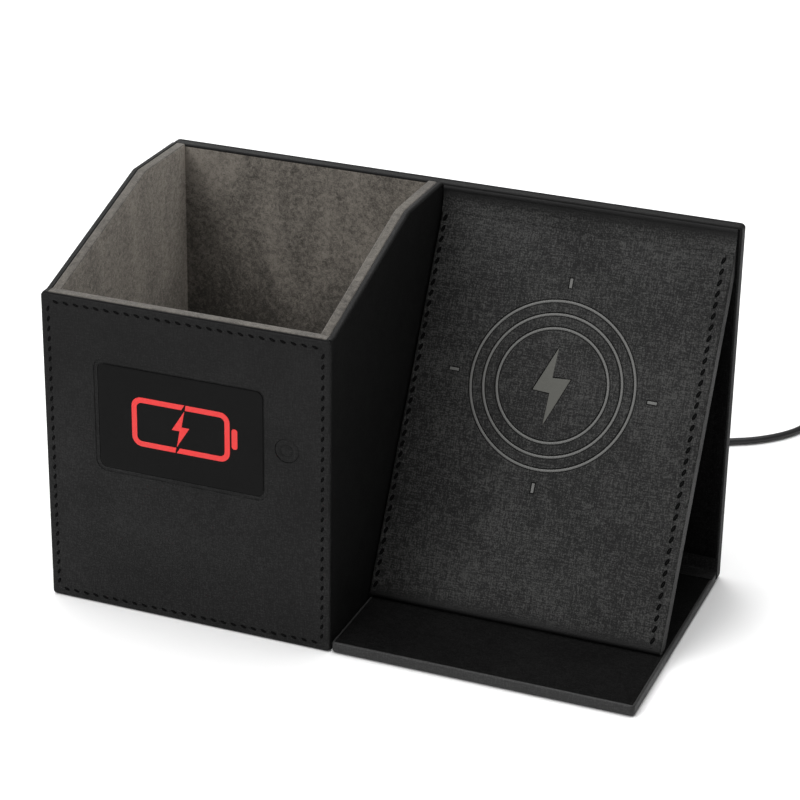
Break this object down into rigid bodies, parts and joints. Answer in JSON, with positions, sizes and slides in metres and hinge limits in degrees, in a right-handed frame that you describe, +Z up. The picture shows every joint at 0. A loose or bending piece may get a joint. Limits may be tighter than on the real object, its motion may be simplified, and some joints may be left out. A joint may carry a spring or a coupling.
{
  "type": "desk organiser with wireless charging stand",
  "caption": "Leather-covered desk organiser: suede-lined pen box beside a leaning wireless charging flap on a hinged base, with a coiled USB lead.",
  "frame": {"origin": "middle of the footprint on the table, without the cord", "axes": "+X to the user's right, +Y to the rear, +Z up"},
  "size_m": [0.2558, 0.2622, 0.127],
  "materials": {
    "leather": "black grained synthetic leather",
    "leather_smooth": "smooth pressed synthetic leather",
    "suede": "short-napped warm grey suede",
    "board": "grey-brown stiff fibreboard",
    "badge_mark": "red printed mark",
    "circuit_board": "green lacquered board",
    "light_guide": "frosted clear acrylic",
    "copper": "enamelled copper wire",
    "ferrite": "dark sintered ferrite",
    "magnet": "nickel-plated",
    "cord": "black cord jacket",
    "plug_shell": "nickel-plated steel",
    "plug_body": "fine-textured black overmould",
    "tie": "black woven tie"
  },
  "bodies": {
    "organiser": {"back_cover": "leather", "back_board": "board", "bay_facing": "leather", "well_back_lining": "suede", "power_board": "circuit_board", "cord_clamp": "plug_body", "left_wall_cover": "leather", "left_wall_board": "board", "left_wall_lining": "suede", "right_wall_cover": "leather", "right_wall_board": "board", "right_wall_lining": "suede", "floor_cover": "leather", "floor_board": "board", "floor_lining": "suede", "facade_cover": "leather", "facade_board": "board", "front_lining": "suede", "badge_plate": "leather_smooth", "badge_mark": "badge_mark", "light_guide": "light_guide", "led_board": "circuit_board", "switch_board": "circuit_board", "flap_hinge": "leather", "base_hinge": "leather", "strain_relief": "cord", "cord_run": "cord", "cord_coil": "cord", "cord_tail": "cord", "coil_tie": "tie", "usb_plug_body": "plug_body", "usb_plug_shell": "plug_shell"},
    "charging_flap": {"flap_cover": "leather", "flap_board": "board", "flap_facing": "leather", "charging_coil": "copper", "ferrite_sheet": "ferrite", "coil_board": "circuit_board", "flap_magnets": "magnet"},
    "base": {"base_cover": "leather", "base_board": "board", "base_facing": "leather", "base_magnets": "magnet"},
    "light_button": {"light_button": "leather_smooth"}
  },
  "joints": [
    {"name": "flap_lift", "type": "hinge", "parent": "organiser", "child": "charging_flap", "pos_m": [0.049, 0.0442, 0.1207], "axis": [-1, 0, 0], "range_deg": [0, 150]},
    {"name": "base_fold", "type": "hinge", "parent": "organiser", "child": "base", "pos_m": [0.0498, 0.04435, 0.00395], "axis": [-1, 0, 0], "range_deg": [0, 90]},
    {"name": "button_press", "type": "slide", "parent": "organiser", "child": "light_button", "axis": [0, 1, 0], "range_m": [0, 0.0004], "stiffness_N_per_m": 400}
  ],
  "couplings": [
    {"joint": "base_fold", "follows": "flap_lift", "ratio": 0.6}
  ]
}
